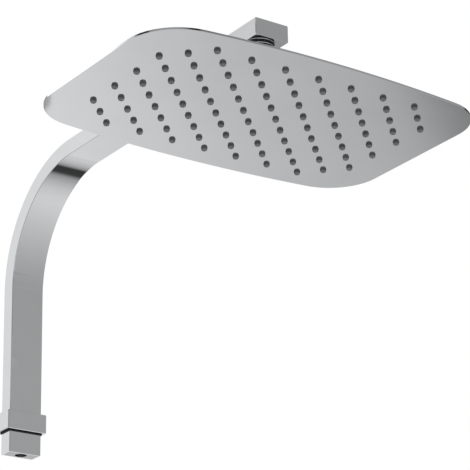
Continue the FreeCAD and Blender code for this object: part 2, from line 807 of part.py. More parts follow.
def make_back_plate():
    """Pressed back of the head: a flat rim with a shallow sloped pan that makes room for the water."""
    body = new_body("BackPlate")
    sheet = S["sheet_thickness"]
    tuck = sheet * PAN_TUCK_SHARE
    rim = new_sketch(body, "RimOutline", lift=sheet)
    draw_plate_outline(rim, ZERO)
    pad(body, "Rim", rim, sheet)
    loft_outlines(body, "Pan", "AdditiveLoft", S["pan_foot_inset"], sheet * 2, S["pan_top_inset"], pan_top)
    loft_outlines(
        body, "Chamber", "SubtractiveLoft", S["pan_foot_inset"] + tuck, sheet,
        S["pan_top_inset"] + tuck, pan_top - sheet)
    foot = pan_top - sheet - S["overrun"]
    drill(body, "HubHole", S["hub_bore_radius"], sheet + S["overrun"] * 2, (ZERO, ZERO, foot))
    node(body, "back_plate", head_place)


def make_face_plate():
    """Bowed plate that faces the bather, with a hole for each nozzle."""
    body = new_body("FacePlate")
    outline = new_sketch(body, "FaceOutline")
    draw_plate_outline(outline, ZERO)
    pad(body, "FaceSheet", outline, S["sheet_thickness"])
    for index, steps in enumerate(NOZZLE_BLOCKS):
        first = (step_x * steps[0], step_y * steps[1], -S["overrun"])
        hole = shaped(
            body, "NozzleHole%d" % index, "SubtractivePrism", first,
            Circumradius=S["nozzle_hole_radius"], Height=S["sheet_thickness"] + S["overrun"] * 2)
        repeat_in_block(body, "NozzleHoles%d" % index, [hole], steps)
    node(body, "face_plate", head_place)


def make_nozzle_mat():
    """Moulded rubber mat behind the plate whose tapered nipples stand out through the holes."""
    body = new_body("NozzleMat")
    outline = new_sketch(body, "MatOutline", lift=S["sheet_thickness"])
    draw_plate_outline(outline, S["mat_inset"])
    pad(body, "MatSheet", outline, S["mat_thickness"])
    for index, steps in enumerate(NOZZLE_BLOCKS):
        x = step_x * steps[0]
        y = step_y * steps[1]
        tip = new_sketch(body, "NippleTip%d" % index, lift=-S["nipple_length"])
        draw_hexagon(tip, S["nipple_tip_radius"], x, y)
        root = new_sketch(body, "NippleRoot%d" % index, lift=S["sheet_thickness"])
        draw_hexagon(root, S["nipple_root_radius"], x, y)
        nipple = loft(body, "Nipple%d" % index, "AdditiveLoft", tip, root)
        repeat_in_block(body, "Nipples%d" % index, [nipple], steps)
    stay_hole = shaped(
        body, "StayHole", "SubtractivePrism",
        (step_x * STAY_BLOCK[0], step_y * STAY_BLOCK[1], S["sheet_thickness"] - S["overrun"]),
        Circumradius=S["stay_radius"] + S["stay_clearance"], Height=S["mat_thickness"] + S["overrun"] * 2)
    repeat_in_block(body, "StayHoles", [stay_hole], STAY_BLOCK)
    node(body, "nozzle_mat", head_place)


def make_stay_studs():
    """Short six-sided posts that hold the two sheets of the head at their distance."""
    first_column, first_row, columns, rows, column_jump, row_jump = STAY_BLOCK
    posts = []
    for column in range(columns):
        for row in range(rows):
            post = doc.addObject("Part::Prism", "Stay%d%d" % (column, row))
            post.Polygon = HEX_SIDES
            bind(post, "Circumradius", S["stay_radius"])
            bind(post, "Height", pan_top - S["sheet_thickness"] * 2)
            x = step_x * (first_column + column * column_jump)
            y = step_y * (first_row + row * row_jump)
            posts.append(place(post, x, y, S["sheet_thickness"]))
    stays = doc.addObject("Part::Compound", "Stays")
    stays.Links = posts
    node(stays, "stay_studs", head_place)


def check_document():
    """Stop if any object failed, or any sub-part has no valid shape."""
    for thing in doc.Objects:
        if "Invalid" in thing.State or "Error" in thing.State:
            raise RuntimeError("%s: %s" % (thing.Label, thing.State))
    for thing in NODES:
        if thing.Shape.isNull() or not thing.Shape.isValid():
            raise RuntimeError("%s has no valid shape" % thing.Label)


def write_parts():
    """Write each sub-part to its own file and print its size."""
    os.makedirs("parts", exist_ok=True)
    for thing in NODES:
        shape = thing.Shape
        shape.exportStep("parts/%s.step" % thing.Label)
        box = shape.BoundBox
        print("%-16s %2d solid(s) %10.1f mm3   %6.1f x %6.1f x %6.1f mm" % (
            thing.Label, len(shape.Solids), shape.Volume, box.XLength, box.YLength, box.ZLength))


make_riser_tube()
make_riser_socket()
make_slip_gasket()
make_stop_screw()
make_arm_tube()
make_arm_end_cap()
make_joint_collar()
make_arm_spigot()
make_spigot_seal()
make_outlet_washer()
make_outlet_nut()
make_ball_stud()
make_friction_ring()
make_ball_seat()
make_union_nut()
make_hub_boss()
make_flow_regulator()
make_back_plate()
make_face_plate()
make_nozzle_mat()
make_stay_studs()

doc.recompute()
check_document()
write_parts()
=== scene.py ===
# %% [markdown]
# # Overhead shower on a swan-neck arm
# The object is the top of a shower column: a thin bowed rain head hangs by a ball joint under a flat
# chromed tube, which bends down into the column's riser. A small collar and a black gasket mark the
# place where the arm swivels. Every part already exists as an exact solid. This file dresses those
# solids: it rounds the edges that catch the light, gives each surface its finish, and lights it all.

# %% Set up
import json
import math

import bmesh
import bpy
from mathutils import Matrix, Vector


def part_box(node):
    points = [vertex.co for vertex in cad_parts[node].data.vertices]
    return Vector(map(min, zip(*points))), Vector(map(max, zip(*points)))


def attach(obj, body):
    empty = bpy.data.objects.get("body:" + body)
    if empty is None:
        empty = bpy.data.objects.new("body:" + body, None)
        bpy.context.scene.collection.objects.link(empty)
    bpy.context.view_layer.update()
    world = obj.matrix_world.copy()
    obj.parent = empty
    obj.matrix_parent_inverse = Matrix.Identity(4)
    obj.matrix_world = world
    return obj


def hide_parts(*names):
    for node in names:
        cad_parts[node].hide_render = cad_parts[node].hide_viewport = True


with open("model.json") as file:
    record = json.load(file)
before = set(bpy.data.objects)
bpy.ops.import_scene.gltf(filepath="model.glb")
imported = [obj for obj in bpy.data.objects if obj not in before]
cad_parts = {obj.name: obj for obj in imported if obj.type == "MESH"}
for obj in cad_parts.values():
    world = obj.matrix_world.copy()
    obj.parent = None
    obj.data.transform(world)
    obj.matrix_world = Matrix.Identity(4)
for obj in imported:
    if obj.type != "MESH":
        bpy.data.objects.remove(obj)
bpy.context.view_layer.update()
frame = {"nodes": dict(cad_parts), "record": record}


# %% [markdown]
# ## Sizes
# The pieces are made in metres, in the place where the solids are. Most sizes are read from the boxes of
# the solids. The few that a box doesn't tell, such as a wall or a radius, are named and written once.

# %% Sizes
MM = 0.001


def box_of(node):
    """Lowest and highest corner of a solid part."""
    low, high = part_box(node)
    return Vector(low), Vector(high)


arm_low, arm_high = box_of("arm_tube")
riser_low, riser_high = box_of("riser_tube")
face_low, face_high = box_of("face_plate")
TUBE_WIDTH = riser_high.x - riser_low.x
TUBE_DEPTH = riser_high.y - riser_low.y
TUBE_WALL = 1.5 * MM
BORE_WIDTH = TUBE_WIDTH - 2 * TUBE_WALL
BORE_DEPTH = TUBE_DEPTH - 2 * TUBE_WALL
EDGE_ROUND = 0.7 * MM
BORE_ROUND = 0.1 * MM
HEAD_X = 0.0
HEAD_Y = (face_low.y + face_high.y) / 2
PLATE_FOOT = face_low.z
print("tube", round(TUBE_WIDTH / MM, 1), "x", round(TUBE_DEPTH / MM, 1), "mm")
print("head at y", round(HEAD_Y, 4))

# %% [markdown]
# ## A few helpers
# Nearly every piece here is one of two kinds. A turned piece is an outline spun round its axis, as on a
# lathe. A pressed or drawn piece is a row of closed outlines joined one to the next, like hoops on a
# barrel. So three small helpers cover most of the work: turn spins an outline, bridge joins two hoops,
# and fill closes a flat end.

# %% Shaping helpers


def bridge(bm, first, second):
    """Skin between two closed outlines."""
    bmesh.ops.bridge_loops(bm, edges=first + second)


def fill(bm, rings, normal=(0, 0, 1)):
    """Flat skin between an outline and the rings inside it."""
    edges = [edge for ring in rings for edge in ring]
    bmesh.ops.triangle_fill(bm, use_beauty=True, use_dissolve=False, edges=edges, normal=normal)


def circle(bm, radius, centre, segments):
    """Ring of edges round the upright axis through centre."""
    verts = bmesh.ops.create_circle(
        bm, cap_ends=False, radius=radius, segments=segments,
        matrix=Matrix.Translation(centre))["verts"]
    return list({edge for vert in verts for edge in vert.link_edges})


def turn(bm, outline, centre, steps):
    """Spin an outline of (radius, height) points, in millimetres, round the upright axis."""
    points = [centre + Vector((radius * MM, 0, height * MM)) for radius, height in outline]
    verts = [bm.verts.new(point) for point in points]
    edges = [bm.edges.new(pair) for pair in zip(verts, verts[1:])]
    bmesh.ops.spin(
        bm, geom=verts + edges, cent=centre, axis=(0, 0, 1), dvec=(0, 0, 0), angle=math.tau,
        steps=steps, use_merge=True, use_duplicate=False)


# %% [markdown]
# ## Handing a piece over
# A finished mesh becomes an object that rides on its body and stands for its solid. Before that, each
# closed shell is turned right side out. Blender's own guess can fail on flat shapes, so the sign of the
# shell's volume decides. The smooth shading stops at every edge that is sharper than a small angle,
# because a wide limit would smear light over the flat sides.

# %% Handing over
MERGE_DISTANCE = 0.001 * MM
SMOOTH_LIMIT = 12.0
PIECES = {}


def shells(bm):
    """The mesh's separate shells, each a list of faces that hang together."""
    left = set(bm.faces)
    while left:
        shell, front = [], [left.pop()]
        while front:
            face = front.pop()
            shell.append(face)
            near = {other for edge in face.edges for other in edge.link_faces} & left
            left -= near
            front.extend(near)
        yield shell


def face_outwards(bm):
    """Merge doubles and turn each closed shell until its volume counts as positive."""
    bmesh.ops.remove_doubles(bm, verts=bm.verts, dist=MERGE_DISTANCE)
    bmesh.ops.recalc_face_normals(bm, faces=bm.faces)
    for shell in list(shells(bm)):
        volume = sum(face.calc_center_median().dot(face.normal) * face.calc_area() for face in shell)
        if volume < 0:
            bmesh.ops.reverse_faces(bm, faces=shell)


def hand_over(name, bm, body, slot, *nodes, sharp=SMOOTH_LIMIT):
    """Make the piece an object, let it ride on its body and stand for its solid."""
    face_outwards(bm)
    mesh = bpy.data.meshes.new(name)
    bm.to_mesh(mesh)
    bm.free()
    for face in mesh.polygons:
        face.use_smooth = True
    mesh.set_sharp_from_angle(angle=math.radians(sharp))
    piece = bpy.data.objects.new(name, mesh)
    bpy.context.scene.collection.objects.link(piece)
    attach(piece, body)
    if nodes:
        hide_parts(*nodes)
    PIECES[name] = (piece, slot)
    print(name, len(mesh.polygons), "faces")


# %% [markdown]
# ## Camera
# The photograph was taken from below and from the left, with a long lens: the plate's far edge is hardly
# shorter than the near one. The nozzles stand on a regular grid, so the camera's place, turn and focal
# length were found by fitting that grid and the arm's edges to the picture. The focal length came out
# in pixels, so the lens is that share of the sensor. No shift is needed.

# %% Camera
CAMERA_PLACE = Vector((-1.10967, -1.96012, -0.63632))
CAMERA_RIGHT = Vector((0.82161933, -0.56980416, -0.01627567))
CAMERA_UP = Vector((-0.19378394, -0.30604716, 0.93208525))
FOCAL_PIXELS = 2306.47
PICTURE_WIDTH = 470
SENSOR_WIDTH = 36.0

camera_data = bpy.data.cameras.new("camera")
camera_data.sensor_width = SENSOR_WIDTH
camera_data.lens = SENSOR_WIDTH * (FOCAL_PIXELS / PICTURE_WIDTH)
camera_data.clip_start = 0.05
camera_data.clip_end = 60.0
camera = bpy.data.objects.new("camera", camera_data)
backward = CAMERA_RIGHT.cross(CAMERA_UP)
turned = Matrix((CAMERA_RIGHT, CAMERA_UP, backward)).transposed()
camera.matrix_world = Matrix.Translation(CAMERA_PLACE) @ turned.to_4x4()
bpy.context.scene.collection.objects.link(camera)
bpy.context.scene.camera = camera
print("lens", round(camera_data.lens, 1), "mm")

# %% [markdown]
# ## Arm
# The arm is one flat tube, bent over a former. A lathe or a lump of boxes can't give that bend, but an
# extrusion can: a rectangle is drawn at the foot, pulled straight up, turned through a quarter circle
# and pulled straight on. The rectangle's corners are rounded before it is pulled, so the highlight that
# runs along the four edges never breaks. A second, smaller rectangle pulled along the same path is the
# bore, and a flat ring at each end joins the two. Solidify would fold the wall at the corners, because
# the wall is thicker than the corners are round.

# %% Rectangles and pulls
CORNER_SEGMENTS = 3


def rectangle(bm, width, depth, level, round_by):
    """Closed rounded rectangle, centred on the upright axis."""
    corners = bmesh.ops.create_grid(bm, x_segments=1, y_segments=1, size=0.5)["verts"]
    bmesh.ops.scale(bm, verts=corners, vec=(width, depth, 1))
    bmesh.ops.translate(bm, verts=corners, vec=(0, 0, level))
    faces = list({face for vert in corners for face in vert.link_faces})
    before = set(bm.edges) - {edge for vert in corners for edge in vert.link_edges}
    bmesh.ops.delete(bm, geom=faces, context="FACES_ONLY")
    if round_by > 0:
        bmesh.ops.bevel(
            bm, geom=corners, offset=round_by, offset_type="OFFSET", segments=CORNER_SEGMENTS,
            profile=0.5, affect="VERTICES", material=-1, clamp_overlap=True)
    return [edge for edge in bm.edges if edge not in before]


def pulled(bm, edges, **move):
    """Extrude an open row of edges and give back the new row."""
    made = bmesh.ops.extrude_edge_only(bm, edges=edges)["geom"]
    verts = [part for part in made if isinstance(part, bmesh.types.BMVert)]
    bmesh.ops.translate(bm, verts=verts, **move)
    return [part for part in made if isinstance(part, bmesh.types.BMEdge)]


# %% Arm
INNER_BEND = 110.0 * MM
BEND_RADIUS = INNER_BEND + TUBE_DEPTH / 2
BEND_STEPS = 64
bend_level = arm_high.z - TUBE_DEPTH / 2 - BEND_RADIUS
print("bend of radius", round(BEND_RADIUS / MM, 1), "mm from level", round(bend_level, 4))


def swept(bm, width, depth, rounding):
    """Pull a rounded rectangle along the arm's path and give back its first and last row of edges."""
    first = rectangle(bm, width, depth, arm_low.z, rounding)
    edges = pulled(bm, first, vec=(0, 0, bend_level - arm_low.z))
    verts = list({vert for edge in edges for vert in edge.verts})
    bend_end = bmesh.ops.spin(
        bm, geom=verts + edges, cent=(0, -BEND_RADIUS, bend_level), axis=(1, 0, 0), dvec=(0, 0, 0),
        angle=math.pi / 2, steps=BEND_STEPS, use_merge=False, use_duplicate=False)["geom_last"]
    edges = [part for part in bend_end if isinstance(part, bmesh.types.BMEdge)]
    return first, pulled(bm, edges, vec=(0, arm_low.y + BEND_RADIUS, 0))


def make_arm():
    bm = bmesh.new()
    outer_foot, outer_end = swept(bm, TUBE_WIDTH, TUBE_DEPTH, EDGE_ROUND)
    bore_foot, bore_end = swept(bm, BORE_WIDTH, BORE_DEPTH, BORE_ROUND)
    fill(bm, [outer_foot, bore_foot])
    fill(bm, [outer_end, bore_end], normal=(0, -1, 0))
    hand_over("arm", bm, "arm", "chromed_tube", "arm_tube")


make_arm()

# %% [markdown]
# ## End cap
# A flush plate closes the arm. Its outer face is flat and its edges are as round as the tube's, so it
# reads as the end of the same bar. It is a small block: a rounded rectangle, pulled to its thickness.
# Only the rim of the outer face is softened, because the other rim lies flush against the tube. The
# plug that holds it in the bore starts a little inside the plate, so the two hang together.

# %% End cap
CAP_THICKNESS = 1.5 * MM
CAP_SOFTENING = 0.3 * MM
CAP_PLUG = 5.0 * MM
PLUG_OVERLAP = 0.2 * MM


def lay_down(bm, place):
    """Tip an upright piece so that its top points backwards, and put it in its place."""
    bmesh.ops.rotate(bm, verts=bm.verts, cent=(0, 0, 0), matrix=Matrix.Rotation(-math.pi / 2, 3, "X"))
    bmesh.ops.translate(bm, verts=bm.verts, vec=place)


def make_end_cap():
    bm = bmesh.new()
    low, high = box_of("arm_end_cap")
    outer = rectangle(bm, TUBE_WIDTH, TUBE_DEPTH, 0, EDGE_ROUND)
    outer_face = bmesh.ops.contextual_create(bm, geom=outer)["faces"][0]
    inner = pulled(bm, outer, vec=(0, 0, CAP_THICKNESS))
    bmesh.ops.contextual_create(bm, geom=inner)
    bmesh.ops.bevel(
        bm, geom=list(outer_face.edges), offset=CAP_SOFTENING, offset_type="OFFSET", segments=2,
        profile=0.5, affect="EDGES", material=-1, clamp_overlap=True)
    plug = rectangle(bm, BORE_WIDTH, BORE_DEPTH, CAP_THICKNESS - PLUG_OVERLAP, 0)
    bmesh.ops.contextual_create(bm, geom=plug)
    plug_end = pulled(bm, plug, vec=(0, 0, CAP_PLUG + PLUG_OVERLAP))
    bmesh.ops.contextual_create(bm, geom=plug_end)
    lay_down(bm, (0, low.y, (low.z + high.z) / 2))
    hand_over("end_cap", bm, "arm", "chromed_tube", "arm_end_cap")


make_end_cap()

# %% [markdown]
# ## Riser, gasket and collar
# These three are sleeves. Each is a row of rounded rectangles, one inside or above the other, skinned
# round until the last meets the first. A loop slightly inside and below its neighbour makes the
# chamfer that gives the collar its bright line. Two loops at one level are filled as a flat ring
# instead, because a bridge between them can cross over itself.

# %% Riser


def make_sleeve(name, body, slot, node, loops):
    """Skin a closed row of rounded rectangles: (width, depth, level, rounding)."""
    bm = bmesh.new()
    rings = [(rectangle(bm, *loop), loop[2]) for loop in loops]
    for (first, level), (second, next_level) in zip(rings, rings[1:] + rings[:1]):
        if level == next_level:
            fill(bm, [first, second])
        else:
            bridge(bm, first, second)
    hand_over(name, bm, body, slot, node)


make_sleeve("riser", "riser", "chromed_tube", "riser_tube", [
    (TUBE_WIDTH, TUBE_DEPTH, riser_low.z, EDGE_ROUND),
    (TUBE_WIDTH, TUBE_DEPTH, riser_high.z, EDGE_ROUND),
    (BORE_WIDTH, BORE_DEPTH, riser_high.z, BORE_ROUND),
    (BORE_WIDTH, BORE_DEPTH, riser_low.z, BORE_ROUND),
])

# %% Gasket
GASKET_BULGE = 0.3 * MM
GASKET_HOLE = 12.6 * MM
GASKET_HOLE_ROUND = 6.0 * MM
gasket_low, gasket_high = box_of("slip_gasket")
gasket_width = gasket_high.x - gasket_low.x
gasket_depth = gasket_high.y - gasket_low.y


def inset(width, depth, level, by, rounding):
    """One rounded rectangle, smaller all round."""
    return (width - 2 * by, depth - 2 * by, level, rounding)


make_sleeve("gasket", "riser", "black_rubber", "slip_gasket", [
    inset(gasket_width, gasket_depth, gasket_low.z, GASKET_BULGE, EDGE_ROUND),
    (gasket_width, gasket_depth, gasket_low.z + GASKET_BULGE, EDGE_ROUND + GASKET_BULGE),
    (gasket_width, gasket_depth, gasket_high.z - GASKET_BULGE, EDGE_ROUND + GASKET_BULGE),
    inset(gasket_width, gasket_depth, gasket_high.z, GASKET_BULGE, EDGE_ROUND),
    (GASKET_HOLE, GASKET_HOLE, gasket_high.z, GASKET_HOLE_ROUND),
    (GASKET_HOLE, GASKET_HOLE, gasket_low.z, GASKET_HOLE_ROUND),
])

# %% Collar
COLLAR_ROUND = 0.8 * MM
COLLAR_CHAMFER = 0.5 * MM
COLLAR_PLAY = 0.1 * MM
collar_low, collar_high = box_of("joint_collar")
collar_width = collar_high.x - collar_low.x
collar_depth = collar_high.y - collar_low.y

make_sleeve("collar", "arm", "chromed_fitting", "joint_collar", [
    inset(collar_width, collar_depth, collar_low.z, COLLAR_CHAMFER, COLLAR_ROUND),
    (collar_width, collar_depth, collar_low.z + COLLAR_CHAMFER, COLLAR_ROUND),
    (collar_width, collar_depth, collar_high.z - COLLAR_CHAMFER, COLLAR_ROUND),
    inset(collar_width, collar_depth, collar_high.z, COLLAR_CHAMFER, COLLAR_ROUND),
    (TUBE_WIDTH + COLLAR_PLAY, TUBE_DEPTH + COLLAR_PLAY, collar_high.z, EDGE_ROUND),
    (TUBE_WIDTH + COLLAR_PLAY, TUBE_DEPTH + COLLAR_PLAY, collar_low.z, EDGE_ROUND),
])

# %% [markdown]
# ## Stop screw
# A headless screw at the back of the riser limits the swivel. Its outer end shows a six-sided recess.
# The screw is a circle pulled to its length, the recess a hexagon pushed in, and a bridge between the
# two rims closes the outer end.

# %% Stop screw
SCREW_SIDES = 24
RECESS_SIDES = 6
RECESS_SHARE = 0.58
RECESS_DEPTH = 1.2 * MM


def make_stop_screw():
    bm = bmesh.new()
    low, high = box_of("stop_screw")
    radius = (high.x - low.x) / 2
    length = high.y - low.y
    rim = circle(bm, radius, (0, 0, 0), SCREW_SIDES)
    tip = pulled(bm, rim, vec=(0, 0, -length))
    bmesh.ops.contextual_create(bm, geom=tip)
    recess = circle(bm, radius * RECESS_SHARE, (0, 0, 0), RECESS_SIDES)
    recess_floor = pulled(bm, recess, vec=(0, 0, -RECESS_DEPTH))
    bmesh.ops.contextual_create(bm, geom=recess_floor)
    bridge(bm, rim, recess)
    lay_down(bm, (0, high.y, (low.z + high.z) / 2))
    hand_over("stop_pin", bm, "riser", "plain_steel", "stop_screw")


make_stop_screw()

# %% [markdown]
# ## Outline of the plates
# Both plates share one outline: straight ends, gently bowed long sides and large corner arcs that run
# into them without a kink. A quarter of it is drawn by turning single points round the centres of the
# arcs, and mirrored twice. A smaller outline is the same recipe with every radius drawn in, so the rows
# have equal counts and can be skinned one to the next.

# %% Outline of the plates
HALF_LENGTH = (face_high.x - face_low.x) / 2
HALF_WIDTH = (face_high.y - face_low.y) / 2
CORNER_RADIUS = 50.0 * MM
CORNER_STEPS = 18
BOW_RADIUS = 1210.0 * MM
BOW_STEPS = 14
WELD_DISTANCE = 0.01 * MM
bow_centre = HALF_WIDTH - BOW_RADIUS
corner_x = HALF_LENGTH - CORNER_RADIUS
corner_y = bow_centre + math.sqrt((BOW_RADIUS - CORNER_RADIUS) ** 2 - corner_x ** 2)
corner_turn = math.atan2(corner_y - bow_centre, corner_x)


def last_vert(made):
    """Point at which a spin came to its end."""
    return [part for part in made["geom_last"] if isinstance(part, bmesh.types.BMVert)]


def plate_outline(bm, drawn_in, level):
    """Closed outline of a plate at a level, drawn in by a distance."""
    before = set(bm.edges)
    start = bm.verts.new((HALF_LENGTH - drawn_in, 0, level))
    side = bm.verts.new((HALF_LENGTH - drawn_in, corner_y, level))
    bm.edges.new((start, side))
    arc = bmesh.ops.spin(
        bm, geom=[side], cent=(corner_x, corner_y, level), axis=(0, 0, 1), dvec=(0, 0, 0),
        angle=corner_turn, steps=CORNER_STEPS, use_merge=False, use_duplicate=False)
    bmesh.ops.spin(
        bm, geom=last_vert(arc), cent=(0, bow_centre, level), axis=(0, 0, 1), dvec=(0, 0, 0),
        angle=math.pi / 2 - corner_turn, steps=BOW_STEPS, use_merge=False, use_duplicate=False)
    for axis in ("X", "Y"):
        edges = [edge for edge in bm.edges if edge not in before]
        verts = list({vert for edge in edges for vert in edge.verts})
        bmesh.ops.mirror(
            bm, geom=verts + edges, matrix=Matrix.Identity(4), merge_dist=-1, axis=axis)
    edges = [edge for edge in bm.edges if edge not in before]
    verts = list({vert for edge in edges for vert in edge.verts})
    bmesh.ops.remove_doubles(bm, verts=verts, dist=WELD_DISTANCE)
    return [edge for edge in bm.edges if edge not in before]


trial = bmesh.new()
print("outline of", len(plate_outline(trial, 0, 0)), "edges, corner arcs of", CORNER_RADIUS / MM, "mm")
trial.free()

# %% [markdown]
# ## Nozzle places
# The nozzles stand in three interleaved blocks on a grid of half steps. These are the counts of the
# source's own pattern: first column and row, how many columns and rows, and the jump between them. The
# outermost nozzles keep a margin to the plate's ends and long sides, and that fixes the step.

# %% Nozzle places
NOZZLE_BLOCKS = ((-8, -3, 9, 4, 2, 2), (-6, -5, 7, 2, 2, 10), (-7, -4, 8, 5, 2, 2))
STEPS_TO_END = 8
STEPS_TO_SIDE = 5
END_MARGIN = 37.7 * MM
SIDE_MARGIN = 31.0 * MM
step_x = (HALF_LENGTH - END_MARGIN) / STEPS_TO_END
step_y = (HALF_WIDTH - SIDE_MARGIN) / STEPS_TO_SIDE
nozzle_places = []
for column, row, columns, rows, column_jump, row_jump in NOZZLE_BLOCKS:
    for i in range(columns):
        for j in range(rows):
            nozzle_places.append((step_x * (column + i * column_jump), step_y * (row + j * row_jump)))
print(len(nozzle_places), "nozzles")
print("half steps of", round(step_x / MM, 2), "and", round(step_y / MM, 2), "mm")

# %% [markdown]
# ## Face plate
# The polished plate that faces the bather has a round hole for each nozzle. The filled outline is made
# in one step: triangle_fill skins everything between the plate's edge and the circles. A second outline
# and a second set of circles at the sheet's thickness give it its walls. The lower rim is a little
# rounded, as polished sheet is. The plate is made round the origin and then moved to the head's place.

# %% Face plate
HOLE_RADIUS = 3.2 * MM
HOLE_SIDES = 20
RIM_ROUND = 0.15 * MM
RIM_MIDDLE = RIM_ROUND * 0.3


def put_on_head(bm):
    """Move a piece that was made round the origin to the head's place."""
    bmesh.ops.translate(bm, verts=bm.verts, vec=(HEAD_X, HEAD_Y, PLATE_FOOT))


def nozzle_holes(bm, level):
    """One ring of edges for each nozzle."""
    return [circle(bm, HOLE_RADIUS, (x, y, level), HOLE_SIDES) for x, y in nozzle_places]


def make_face_plate():
    bm = bmesh.new()
    thickness = face_high.z - face_low.z
    rim = [
        plate_outline(bm, RIM_ROUND, 0),
        plate_outline(bm, RIM_MIDDLE, RIM_MIDDLE),
        plate_outline(bm, 0, RIM_ROUND),
        plate_outline(bm, 0, thickness),
    ]
    for first, second in zip(rim, rim[1:]):
        bridge(bm, first, second)
    lower = nozzle_holes(bm, 0)
    upper = nozzle_holes(bm, thickness)
    for first, second in zip(lower, upper):
        bridge(bm, first, second)
    fill(bm, [rim[0]] + lower)
    fill(bm, [rim[-1]] + upper)
    put_on_head(bm)
    hand_over("face_sheet", bm, "head", "polished_sheet", "face_plate")


make_face_plate()

# %% [markdown]
# ## Back plate
# The back is pressed from the same sheet. A flat rim lies on the face plate, and a shallow pan inside it
# makes room for the water. The pan's foot and top have the soft bends of a pressing: a short run of
# outlines at each bend, rather than one hard crease. Each outline lies at least a hair above the one
# outside it, because a bridge between two at the same level can cross over itself.

# %% Back plate
SHEET = 1.0 * MM
PAN_FOOT = 10.0 * MM
PAN_TOP = 16.0 * MM
BEND_START = 1.2 * MM
BEND_MIDDLE = 0.3 * MM
BEND_SAG = 0.12 * MM
HAIR = 0.02 * MM
SLOPE_START = 0.14
SLOPE_END = 0.86
SLOPE_EASE = 0.1 * MM
back_low, back_high = box_of("back_plate")


def make_back_plate():
    bm = bmesh.new()
    foot = back_low.z - face_low.z
    rim_top = foot + SHEET
    top = back_high.z - face_low.z
    rise = top - rim_top
    run = PAN_TOP - PAN_FOOT
    rows = [
        (0, foot),
        (0, rim_top - RIM_ROUND),
        (RIM_MIDDLE, rim_top - RIM_MIDDLE),
        (RIM_ROUND, rim_top),
        (PAN_FOOT - BEND_START, rim_top + HAIR),
        (PAN_FOOT - BEND_MIDDLE, rim_top + BEND_SAG),
        (PAN_FOOT + run * SLOPE_START, rim_top + rise * SLOPE_START + SLOPE_EASE),
        (PAN_FOOT + run * SLOPE_END, rim_top + rise * SLOPE_END - SLOPE_EASE),
        (PAN_TOP + BEND_MIDDLE, top - BEND_SAG),
        (PAN_TOP + BEND_START, top),
    ]
    rings = [plate_outline(bm, *row) for row in rows]
    for first, second in zip(rings, rings[1:]):
        bridge(bm, first, second)
    fill(bm, [rings[0]])
    fill(bm, [rings[-1]])
    put_on_head(bm)
    hand_over("back_pan", bm, "head", "polished_sheet", "back_plate")


make_back_plate()

# %% [markdown]
# ## Nozzle mat
# Behind the face lies one moulded mat of dark silicone. Its nipples stand through the holes: tapered,
# with a soft rounded lip and a small bore. One outline is turned ninety times, once in each place, with
# few steps because each nipple is only a few millimetres wide.

# %% Nozzle mat
NIPPLE_OUTLINE = (
    (0.0, 1.4), (3.0, 1.4), (2.95, 0.0), (2.9, -1.0), (2.72, -1.95), (2.35, -2.55), (1.8, -2.85),
    (1.0, -2.9), (0.7, -2.75), (0.6, -1.6), (0.0, -1.6),
)
NIPPLE_STEPS = 18
MAT_MARGIN = 13.0 * MM


def make_nozzle_mat():
    bm = bmesh.new()
    low = SHEET
    high = box_of("nozzle_mat")[1].z - PLATE_FOOT
    fill(bm, [plate_outline(bm, MAT_MARGIN, low)])
    made = bmesh.ops.extrude_face_region(bm, geom=bm.faces[:])["geom"]
    lifted = [part for part in made if isinstance(part, bmesh.types.BMVert)]
    bmesh.ops.translate(bm, verts=lifted, vec=(0, 0, high - low))
    for x, y in nozzle_places:
        turn(bm, NIPPLE_OUTLINE, Vector((x, y, 0)), NIPPLE_STEPS)
    put_on_head(bm)
    hand_over("nozzles", bm, "head", "nozzle_rubber", "nozzle_mat", sharp=35)


make_nozzle_mat()

# %% [markdown]
# ## Ball stud
# The stud is turned from one bar: a flange that seats under the arm, a neck and the ball. In the
# photograph its flange shows dark arcs. They are made as a groove in the chrome with a black ring in
# it, and the ring is a small turned piece of its own. Each edge of the stud has a small round, because
# a chromed edge is never knife sharp. The outlines are in millimetres, from the ball's centre.

# %% Ball stud
BALL_RADIUS = 10.0
BALL_FIRST_ANGLE = -52
BALL_SWEEP = 109
BALL_STEPS = 14
NECK_RADIUS = 5.2
WATER_BORE = 4.0
THREAD_RADIUS = 6.5
STUD_TOP = 29.0
NUT_TOP = 9.4
TURNING_STEPS = 96
RING_STEPS = 72
stud_low, stud_high = box_of("ball_stud")
nut_low, nut_high = box_of("union_nut")
ball_centre = Vector((HEAD_X, HEAD_Y, nut_high.z - NUT_TOP * MM))
flange = (stud_high.x - stud_low.x) / 2 / MM
print("ball's centre at", [round(value, 4) for value in ball_centre])
print("flange of radius", round(flange, 2), "mm")


def make_ball_stud():
    bm = bmesh.new()
    ball = []
    for step in range(BALL_STEPS + 1):
        angle = math.radians(BALL_FIRST_ANGLE + step * BALL_SWEEP / BALL_STEPS)
        ball.append((BALL_RADIUS * math.cos(angle), BALL_RADIUS * math.sin(angle)))
    bore_foot = (WATER_BORE, ball[0][1])
    outline = [bore_foot] + ball + [
        (NECK_RADIUS, 9.2), (NECK_RADIUS, 14.4), (5.8, 15.0), (flange - 0.4, 15.0),
        (flange - 0.1, 15.1), (flange, 15.4), (flange, 16.7), (flange - 0.2, 17.0),
        (flange - 2.5, 17.0), (flange - 2.5, 19.7), (flange - 0.1, 19.7), (flange, 19.8),
        (flange, 20.4), (flange - 0.1, 20.5), (THREAD_RADIUS, 20.5), (THREAD_RADIUS, STUD_TOP),
        (WATER_BORE, STUD_TOP), bore_foot,
    ]
    turn(bm, outline, ball_centre, TURNING_STEPS)
    hand_over("ball_joint_stud", bm, "arm", "chromed_fitting", "ball_stud")


